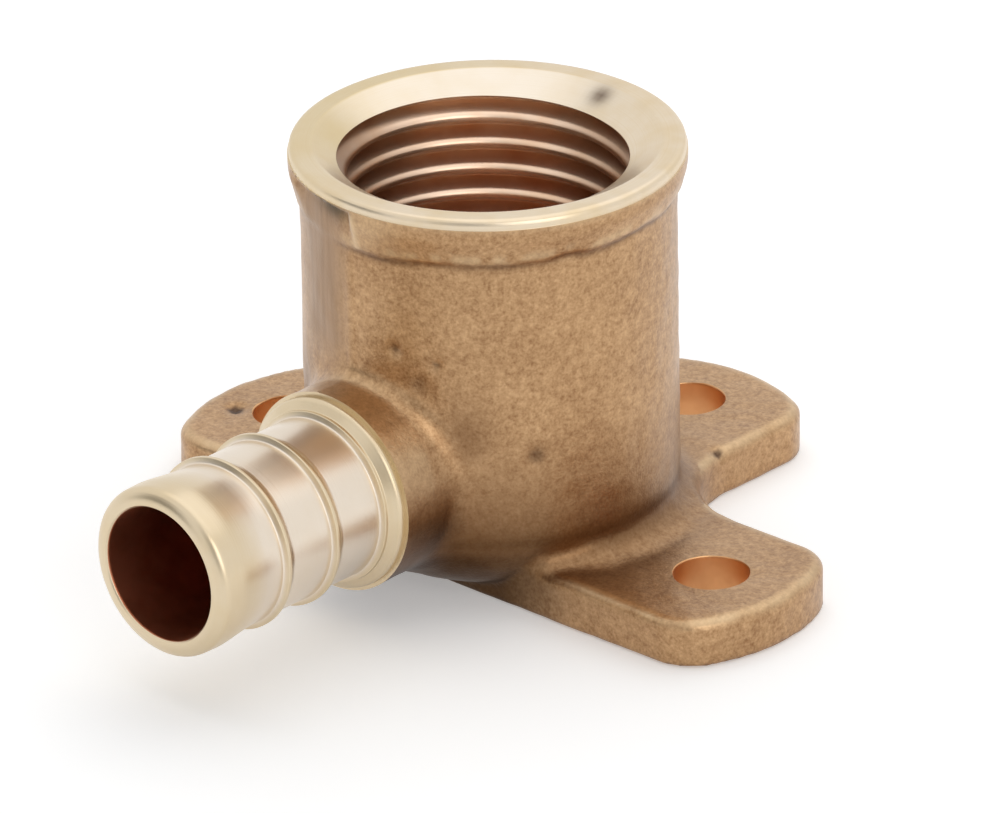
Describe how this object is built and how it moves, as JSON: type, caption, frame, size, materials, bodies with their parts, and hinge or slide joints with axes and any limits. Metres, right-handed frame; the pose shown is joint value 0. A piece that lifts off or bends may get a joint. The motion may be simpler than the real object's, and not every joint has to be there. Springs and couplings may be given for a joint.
{
  "type": "wall plate elbow",
  "caption": "Cast brass wall plate elbow: female pipe thread in an upright hub, a ribbed crimp barb at right angles and flat ears with screw holes for a wall.",
  "frame": {"origin": "on the axis of the female thread, in the plane of the wall face", "axes": "+Z out of the wall along the female thread, -Y out of the barb, X across the two side ears"},
  "size_m": [0.0498, 0.0571, 0.0289],
  "materials": {
    "cast_brass": "sand-cast skin, machined at the mouth and barb"
  },
  "bodies": {
    "root": {"elbow_casting": "cast_brass"}
  },
  "joints": []
}
